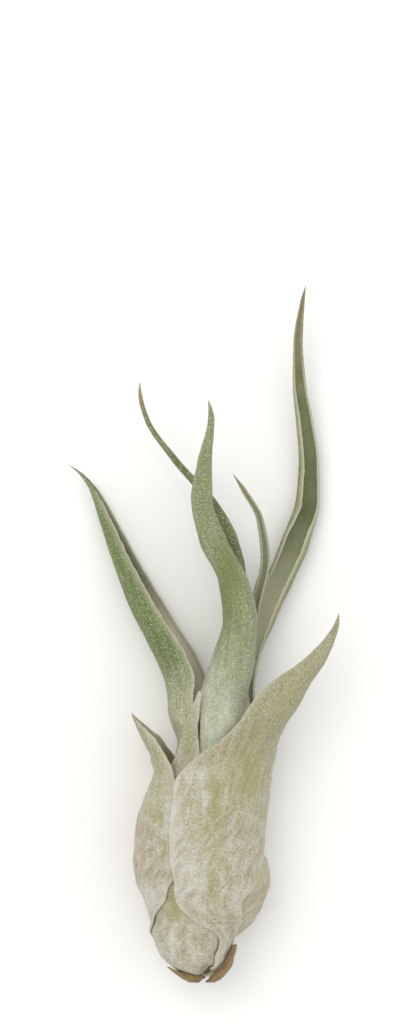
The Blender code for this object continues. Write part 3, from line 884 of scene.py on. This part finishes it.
def leaf_skin(name):
    """One leaf as a fine closed skin with rounded margins, and the masks for its material."""
    middle, normal, thickness, spot = leaf_skin_points(name)
    outer = middle + normal * (thickness / 2 + relief(name, spot))[..., None]
    inner = middle - normal * (thickness / 2)[..., None]
    rows, columns = thickness.shape
    ring = 2 * (columns - 1)
    points = round_the_leaf(outer, inner).reshape(-1, 3)
    apex = leaf_surface(name, np.zeros(1), np.array([LEAVES[name].tip]))
    points = np.concatenate([points, apex])
    points[:, 2] = np.maximum(points[:, 2], 0.0)
    points[:, :2] -= BOX_MIDDLE

    mesh = bpy.data.meshes.new(f"{name}_skin")
    mesh.from_pydata((points * MM).tolist(), [], ring_faces(rows, ring))
    outer_masks = paint(name, outer, spot, True)
    inner_masks = paint(name, inner, spot, False)
    for key, value in outer_masks.items():
        both = round_the_leaf(value, inner_masks[key]).ravel()
        both = np.append(both, both[-1])
        mesh.attributes.new(key, "FLOAT", "POINT").data.foreach_set("value", both.astype(np.float32))

    # Position on the leaf in millimetres; the inner face is set apart, so that its pattern differs
    across = round_the_leaf(spot["across"], spot["across"]).ravel()
    height = round_the_leaf(spot["height"], spot["height"]).ravel()
    outer_shift = np.zeros_like(thickness)
    inner_shift = np.full_like(thickness, INNER_FACE_PATTERN_SHIFT)
    where = np.stack([across, height, round_the_leaf(outer_shift, inner_shift).ravel()], -1)
    where = np.concatenate([where, [[0.0, LEAVES[name].tip, 0.0]]])
    mesh.attributes.new("leaf_mm", "FLOAT_VECTOR", "POINT").data.foreach_set(
        "vector", where.astype(np.float32).ravel()
    )

    work = bmesh.new()
    work.from_mesh(mesh)
    bmesh.ops.recalc_face_normals(work, faces=work.faces)
    work.to_mesh(mesh)
    work.free()
    mesh.shade_smooth()
    return place(f"{name}_skin", mesh)


def linear(code):
    """Linear colour from an sRGB hex value."""
    parts = [int(code[i : i + 2], 16) / 255 for i in (1, 3, 5)]
    return (*(c / 12.92 if c <= 0.04045 else ((c + 0.055) / 1.055) ** 2.4 for c in parts), 1.0)


def fill(tree, node, inputs):
    """Sets or links a node's inputs."""
    for socket, value in inputs.items():
        if isinstance(value, bpy.types.NodeSocket):
            tree.links.new(value, node.inputs[socket])
        else:
            node.inputs[socket].default_value = value


def add(tree, kind, inputs=None, **settings):
    """A node with its settings, and its inputs set or linked."""
    made = tree.nodes.new(kind)
    for key, value in settings.items():
        setattr(made, key, value)
    fill(tree, made, inputs or {})
    return made


def new_material(name):
    """A new material, with its node tree and its shader."""
    made = bpy.data.materials.new(name)
    made.use_nodes = True
    return made, made.node_tree, made.node_tree.nodes["Principled BSDF"]


def leaf_tissue(name, fresh, deep, sheath, sheath_deep, olive, inner, inner_pale_painted_light, felt):
    """Leaf tissue of an air plant under felt.

    Waxy green tissue, duller and paler on the sheaths, with darker streaks that follow its veins.
    A felt of pale scales hides it in patches, so it looks matte and dusty, never glossy.
    inner_pale_painted_light is the tone low in the channel: its real grey-olive, painted much paler as light
    that offsets the shade deep in the hollow. inner is the tone toward the tip.
    """
    made, tree, shader = new_material(name)
    spot = add(tree, "ShaderNodeAttribute", attribute_name="leaf_mm").outputs["Vector"]
    mask = {
        key: add(tree, "ShaderNodeAttribute", attribute_name=key).outputs["Fac"]
        for key in ("sheath", "felt", "green", "brown", "inner", "margin", "depth")
    }
    # Patterns, in waves per millimetre: streaks 1.1 mm wide and 10 mm long, clouds of 4.5 mm,
    # flecks of 0.5 mm, tufts 2.4 mm wide and 4 mm long, and a fluff of 0.2 mm in the relief
    along_veins = add(tree, "ShaderNodeMapping", {"Vector": spot, "Scale": (0.9, 0.10, 1.0)})
    streaks = add(tree, "ShaderNodeTexNoise", {"Vector": along_veins.outputs[0], "Scale": 1.0, "Detail": 4.0})
    clouds = add(tree, "ShaderNodeTexNoise", {"Vector": spot, "Scale": 0.22, "Detail": 3.0})
    flecks = add(tree, "ShaderNodeTexNoise", {"Vector": spot, "Scale": 1.9, "Detail": 3.0, "Roughness": 0.6})
    felt_patch = add(tree, "ShaderNodeMapping", {"Vector": spot, "Scale": (0.42, 0.26, 1.0)})
    tufts = add(
        tree,
        "ShaderNodeTexNoise",
        {"Vector": felt_patch.outputs[0], "Scale": 1.0, "Detail": 5.0, "Roughness": 0.62},
    )

    # Tissue: streaked green and streaked sheath, then green patches, the channel with painted light low in it,
    # brown and pale margins
    streak = add(
        tree, "ShaderNodeMapRange", {0: streaks.outputs[0], 1: 0.35, 2: 0.65}, interpolation_type="SMOOTHSTEP"
    )
    green = add(
        tree, "ShaderNodeMix", {0: streak.outputs[0], 6: linear(deep), 7: linear(fresh)}, data_type="RGBA"
    )
    pale = add(
        tree,
        "ShaderNodeMix",
        {0: streak.outputs[0], 6: linear(sheath_deep), 7: linear(sheath)},
        data_type="RGBA",
    )
    tissue = add(
        tree, "ShaderNodeMix", {0: mask["sheath"], 6: green.outputs[2], 7: pale.outputs[2]}, data_type="RGBA"
    )
    greener = add(
        tree, "ShaderNodeMix", {0: mask["green"], 6: tissue.outputs[2], 7: linear(olive)}, data_type="RGBA"
    )
    # Low in the channel the inner face turns to inner_pale_painted_light, which is painted light: the
    # grey-olive there made much paler to cancel the shade in the deep hollow
    hollow_tone = add(
        tree,
        "ShaderNodeMath",
        {0: clouds.outputs[0], 1: 0.3, 2: mask["depth"]},
        operation="MULTIPLY_ADD",
        use_clamp=True,
    )
    hollow = add(
        tree,
        "ShaderNodeMix",
        {0: hollow_tone.outputs[0], 6: linear(inner), 7: linear(inner_pale_painted_light)},
        data_type="RGBA",
    )
    faced = add(
        tree,
        "ShaderNodeMix",
        {0: mask["inner"], 6: greener.outputs[2], 7: hollow.outputs[2]},
        data_type="RGBA",
    )
    browned = add(
        tree, "ShaderNodeMix", {0: mask["brown"], 6: faced.outputs[2], 7: linear("#8c7650")}, data_type="RGBA"
    )
    edged = add(
        tree,
        "ShaderNodeMath",
        {0: mask["margin"], 1: 0.85},
        operation="MULTIPLY",
        use_clamp=True,
    )
    rimmed = add(
        tree,
        "ShaderNodeMix",
        {0: edged.outputs[0], 6: browned.outputs[2], 7: linear("#c6c2a8")},
        data_type="RGBA",
    )

    # Felt: soft tufts, most on the sheath, and fine flecks, with less of both on the inner face
    patchy = add(
        tree,
        "ShaderNodeMath",
        {0: mask["sheath"], 1: TUFTS_ADDED_ON_SHEATH, 2: TUFTS_ON_BLADE},
        operation="MULTIPLY_ADD",
    )
    tuft = add(tree, "ShaderNodeMath", {0: tufts.outputs[0], 1: patchy.outputs[0]}, operation="MULTIPLY")
    ground = add(
        tree,
        "ShaderNodeMath",
        {0: patchy.outputs[0], 1: -MEAN_GRAIN, 2: tuft.outputs[0]},
        operation="MULTIPLY_ADD",
    )
    specked = add(
        tree,
        "ShaderNodeMath",
        {0: flecks.outputs[0], 1: FLECKS, 2: ground.outputs[0]},
        operation="MULTIPLY_ADD",
    )
    share = add(
        tree,
        "ShaderNodeMath",
        {0: mask["felt"], 1: OWN_FELT, 2: specked.outputs[0]},
        operation="MULTIPLY_ADD",
    )
    bared = add(
        tree,
        "ShaderNodeMath",
        {0: mask["inner"], 1: -LOST_ON_INNER_FACE, 2: share.outputs[0]},
        operation="MULTIPLY_ADD",
    )
    felted = add(
        tree,
        "ShaderNodeMapRange",
        {0: bared.outputs[0], 1: FELT_STARTS, 2: FELT_FULL, 3: 0.0, 4: MOST_COVER},
        interpolation_type="SMOOTHSTEP",
    )
    colour = add(
        tree, "ShaderNodeMix", {0: felted.outputs[0], 6: rimmed.outputs[2], 7: linear(felt)}, data_type="RGBA"
    )
    fluff = add(tree, "ShaderNodeTexNoise", {"Vector": spot, "Scale": 4.5, "Detail": 3.0})
    height = add(
        tree, "ShaderNodeMath", {0: felted.outputs[0], 1: 0.8, 2: fluff.outputs[0]}, operation="MULTIPLY_ADD"
    )
    bump = add(tree, "ShaderNodeBump", {"Height": height.outputs[0], "Strength": 0.55, "Distance": 0.0002})
    fill(tree, shader, {"Base Color": colour.outputs[2], "Normal": bump.outputs[0]})
    fill(tree, shader, {"Roughness": 0.78, "Specular IOR Level": 0.3})
    fill(tree, shader, {"Sheen Weight": 0.12, "Sheen Roughness": 0.6})
    return made


def dry_husk():
    """Dead leaf base: thin brown husk, streaked along its veins, paler where it has worn through."""
    made, tree, shader = new_material("dry_brown_husk")
    spot = add(tree, "ShaderNodeAttribute", attribute_name="leaf_mm").outputs["Vector"]
    edge = add(tree, "ShaderNodeAttribute", attribute_name="margin").outputs["Fac"]
    # Streaks 0.6 mm wide and 4 mm long
    along_veins = add(tree, "ShaderNodeMapping", {"Vector": spot, "Scale": (1.6, 0.25, 1.0)})
    streaks = add(tree, "ShaderNodeTexNoise", {"Vector": along_veins.outputs[0], "Scale": 1.0, "Detail": 5.0})
    streak = add(tree, "ShaderNodeMapRange", {0: streaks.outputs[0], 1: 0.35, 2: 0.68})
    husk = add(
        tree,
        "ShaderNodeMix",
        {0: streak.outputs[0], 6: linear("#6b5230"), 7: linear("#a88a58")},
        data_type="RGBA",
    )
    rim = add(tree, "ShaderNodeMath", {0: edge, 1: 0.8}, operation="MULTIPLY", use_clamp=True)
    colour = add(
        tree, "ShaderNodeMix", {0: rim.outputs[0], 6: husk.outputs[2], 7: linear("#4f3522")}, data_type="RGBA"
    )
    bump = add(tree, "ShaderNodeBump", {"Height": streaks.outputs[0], "Strength": 0.8, "Distance": 0.0003})
    fill(tree, shader, {"Base Color": colour.outputs[2], "Normal": bump.outputs[0], "Roughness": 0.7})
    return made


def scale_felt():
    """Trichomes: dead, empty, air-filled scales, so they scatter light and look chalky white."""
    made, tree, shader = new_material("trichome_scales")
    spot = add(tree, "ShaderNodeTexCoord").outputs["Object"]
    # The tone drifts over about 4 mm
    tone = add(tree, "ShaderNodeTexNoise", {"Vector": spot, "Scale": 260.0, "Detail": 2.0})
    colour = add(
        tree,
        "ShaderNodeMix",
        {0: tone.outputs[0], 6: linear("#abab90"), 7: linear("#dcdace")},
        data_type="RGBA",
    )
    fill(tree, shader, {"Base Color": colour.outputs[2], "Roughness": 0.85, "Specular IOR Level": 0.25})
    return made


def bark():
    """Woody stem: rough, mottled brown bark, with no shine."""
    made, tree, shader = new_material("woody_stem")
    spot = add(tree, "ShaderNodeTexCoord").outputs["Object"]
    # Mottling about 1 mm across
    mottle = add(tree, "ShaderNodeTexNoise", {"Vector": spot, "Scale": 900.0, "Detail": 4.0})
    colour = add(
        tree,
        "ShaderNodeMix",
        {0: mottle.outputs[0], 6: linear("#4a3a2a"), 7: linear("#8a7457")},
        data_type="RGBA",
    )
    bump = add(tree, "ShaderNodeBump", {"Height": mottle.outputs[0], "Strength": 0.6, "Distance": 0.0003})
    fill(tree, shader, {"Base Color": colour.outputs[2], "Normal": bump.outputs[0], "Roughness": 0.9})
    return made


def scale_tree(material):
    """Geometry Nodes tree that stands small low pyramids all over a leaf, as thick as its mask says."""
    tree = bpy.data.node_groups.new("trichomes", "GeometryNodeTree")
    tree.interface.new_socket("Geometry", in_out="INPUT", socket_type="NodeSocketGeometry")
    for label in ("Scales per square metre", "Radius", "Lift"):
        tree.interface.new_socket(label, in_out="INPUT", socket_type="NodeSocketFloat")
    tree.interface.new_socket("Seed", in_out="INPUT", socket_type="NodeSocketInt")
    tree.interface.new_socket("Geometry", in_out="OUTPUT", socket_type="NodeSocketGeometry")
    given = add(tree, "NodeGroupInput").outputs
    thick = add(tree, "GeometryNodeInputNamedAttribute", {"Name": "scale_density"}, data_type="FLOAT")
    density = add(
        tree,
        "ShaderNodeMath",
        {0: thick.outputs["Attribute"], 1: given["Scales per square metre"]},
        operation="MULTIPLY",
    )
    points = add(
        tree,
        "GeometryNodeDistributePointsOnFaces",
        {"Mesh": given["Geometry"], "Density": density.outputs[0], "Seed": given["Seed"]},
    )
    pyramid = add(
        tree,
        "GeometryNodeMeshCone",
        {"Vertices": 4, "Radius Top": 0.0, "Radius Bottom": given["Radius"], "Depth": given["Lift"]},
    )
    sunk = add(
        tree,
        "GeometryNodeTransform",
        {"Geometry": pyramid.outputs["Mesh"], "Translation": (0.0, 0.0, -SCALE_SUNK * MM)},
    )
    size = add(
        tree,
        "FunctionNodeRandomValue",
        {0: SMALLEST_SCALE, 1: LARGEST_SCALE, "Seed": given["Seed"]},
        data_type="FLOAT_VECTOR",
    )
    spin = add(
        tree,
        "FunctionNodeRandomValue",
        {0: (0.0, 0.0, 0.0), 1: MOST_SCALE_TURN, "Seed": given["Seed"]},
        data_type="FLOAT_VECTOR",
    )
    placed = add(
        tree,
        "GeometryNodeInstanceOnPoints",
        {
            "Points": points.outputs["Points"],
            "Instance": sunk.outputs[0],
            "Rotation": points.outputs["Rotation"],
            "Scale": size.outputs[0],
        },
    )
    turned = add(
        tree, "GeometryNodeRotateInstances", {"Instances": placed.outputs[0], "Rotation": spin.outputs[0]}
    )
    real = add(tree, "GeometryNodeRealizeInstances", {"Geometry": turned.outputs[0]})
    dressed = add(tree, "GeometryNodeSetMaterial", {"Geometry": real.outputs[0], "Material": material})
    add(tree, "NodeGroupOutput", {"Geometry": dressed.outputs[0]})
    return tree


def stand_scales(tree, skin, name, seed):
    """Scales all over a leaf's skin, as one plain mesh."""
    modifier = skin.modifiers.new("trichomes", "NODES")
    modifier.node_group = tree
    values = {
        "Scales per square metre": SCALES_PER_MM2 * 1e6,
        "Radius": SCALE_RADIUS * MM,
        "Lift": SCALE_LIFT * MM,
        "Seed": seed,
    }
    for item in tree.interface.items_tree:
        if item.in_out == "INPUT" and item.name in values:
            modifier[item.identifier] = values[item.name]
    bpy.context.view_layer.update()
    graph = bpy.context.evaluated_depsgraph_get()
    mesh = bpy.data.meshes.new_from_object(skin.evaluated_get(graph))
    skin.modifiers.remove(modifier)
    mesh.name = f"{name}_trichomes"
    return place(mesh.name, mesh)


def area_light(name, location, size, power, colour):
    """Soft box aimed at the middle of the plant."""
    data = bpy.data.lights.new(name, "AREA")
    data.shape = "SQUARE"
    data.size = size
    data.energy = power
    data.color = colour[:3]
    light = place(name, data)
    light.location = location
    light.rotation_euler = (-light.location).to_track_quat("-Z", "Y").to_euler()


def studio():
    """Pale floor, soft light and the camera straight above, framed as the photograph is."""
    scene = bpy.context.scene
    scene.view_settings.view_transform = "Standard"
    floor_mesh = bpy.data.meshes.new("floor")
    corners = [(x * FLOOR_REACH, y * FLOOR_REACH, FLOOR_LEVEL) for x, y in FLOOR_CORNERS]
    floor_mesh.from_pydata(corners, [], [(0, 1, 2, 3)])
    floor = place("floor", floor_mesh)
    paper, tree, shader = new_material("white_paper_sweep")
    fill(tree, shader, {"Base Color": linear("#f7f7f6"), "Roughness": 0.95, "Specular IOR Level": 0.1})
    floor_mesh.materials.append(paper)

    world = bpy.data.worlds.new("studio_air")
    world.use_nodes = True
    background = world.node_tree.nodes["Background"]
    fill(world.node_tree, background, {"Color": linear("#ffffff"), "Strength": SURROUNDINGS})
    scene.world = world
    for name, location, size, power, colour in SOFT_BOXES:
        area_light(name, location, size, power, linear(colour))

    camera_data = bpy.data.cameras.new("camera")
    camera = place("camera", camera_data)
    x = (PHOTO_SIZE[0] / 2 - PLANT_ORIGIN_PIXEL[0]) * MM_PER_PIXEL - BOX_MIDDLE[0]
    y = (PLANT_ORIGIN_PIXEL[1] - PHOTO_SIZE[1] / 2) * MM_PER_PIXEL - BOX_MIDDLE[1]
    camera.location = (x * MM, y * MM, (CAMERA_DISTANCE + PLANT_MIDDLE_HEIGHT) * MM)
    camera_data.sensor_width = 36.0
    camera_data.lens = camera_data.sensor_width * CAMERA_DISTANCE / (PHOTO_SIZE[1] * MM_PER_PIXEL)
    camera_data.clip_end = 10.0
    scene.camera = camera


def main():
    """The studio, then a skin and its scales for every leaf, and bark on the stem."""
    studio()
    # Each inner_pale_painted_light tone is the channel's grey-olive painted paler, as painted light that
    # offsets the shade deep in the hollow
    greens = leaf_tissue(
        "green_leaf_tissue",
        fresh="#6a7a3c",
        deep="#4e5d2e",
        sheath="#a09c76",
        sheath_deep="#868862",
        olive="#5b7030",
        inner="#545a3e",
        inner_pale_painted_light="#cfcbb8",
        felt="#c6c7b2",
    )
    tall = leaf_tissue(
        "olive_leaf_tissue",
        fresh="#747a46",
        deep="#5c6736",
        sheath="#b8ad92",
        sheath_deep="#9c9274",
        olive="#a09a70",
        inner="#636d3c",
        inner_pale_painted_light="#d6d6bc",
        felt="#c6c7b2",
    )
    sages = leaf_tissue(
        "sage_leaf_tissue",
        fresh="#828a5c",
        deep="#6c784a",
        sheath="#a3a886",
        sheath_deep="#8f986f",
        olive="#6f7a48",
        inner="#7b7c63",
        inner_pale_painted_light="#a09a80",
        felt="#c6cabb",
    )
    felted = leaf_tissue(
        "felted_leaf_tissue",
        fresh="#969470",
        deep="#84825a",
        sheath="#ada182",
        sheath_deep="#938a64",
        olive="#98955f",
        inner="#84805f",
        inner_pale_painted_light="#b0a587",
        felt="#cfcfc9",
    )
    tissues = {
        "leaf_right_short": felted,
        "leaf_left_short": felted,
        "leaf_sheath_front": felted,
        "leaf_centre": sages,
        "leaf_right_tall": tall,
        "leaf_left_long": greens,
        "leaf_thin_left": greens,
        "leaf_thin_centre": sages,
        "dry_scale_right": dry_husk(),
    }
    tissues["dry_scale_left"] = tissues["dry_scale_right"]
    tree = scale_tree(scale_felt())
    for seed, name in enumerate(LEAVES):
        skin = leaf_skin(name)
        scales = stand_scales(tree, skin, name, seed)
        skin.data.materials.append(tissues[name])
        for piece in (skin, scales):
            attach(piece, "root")
        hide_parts(name)
    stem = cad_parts["stem"]
    stem.data.materials.clear()
    stem.data.materials.append(bark())


main()
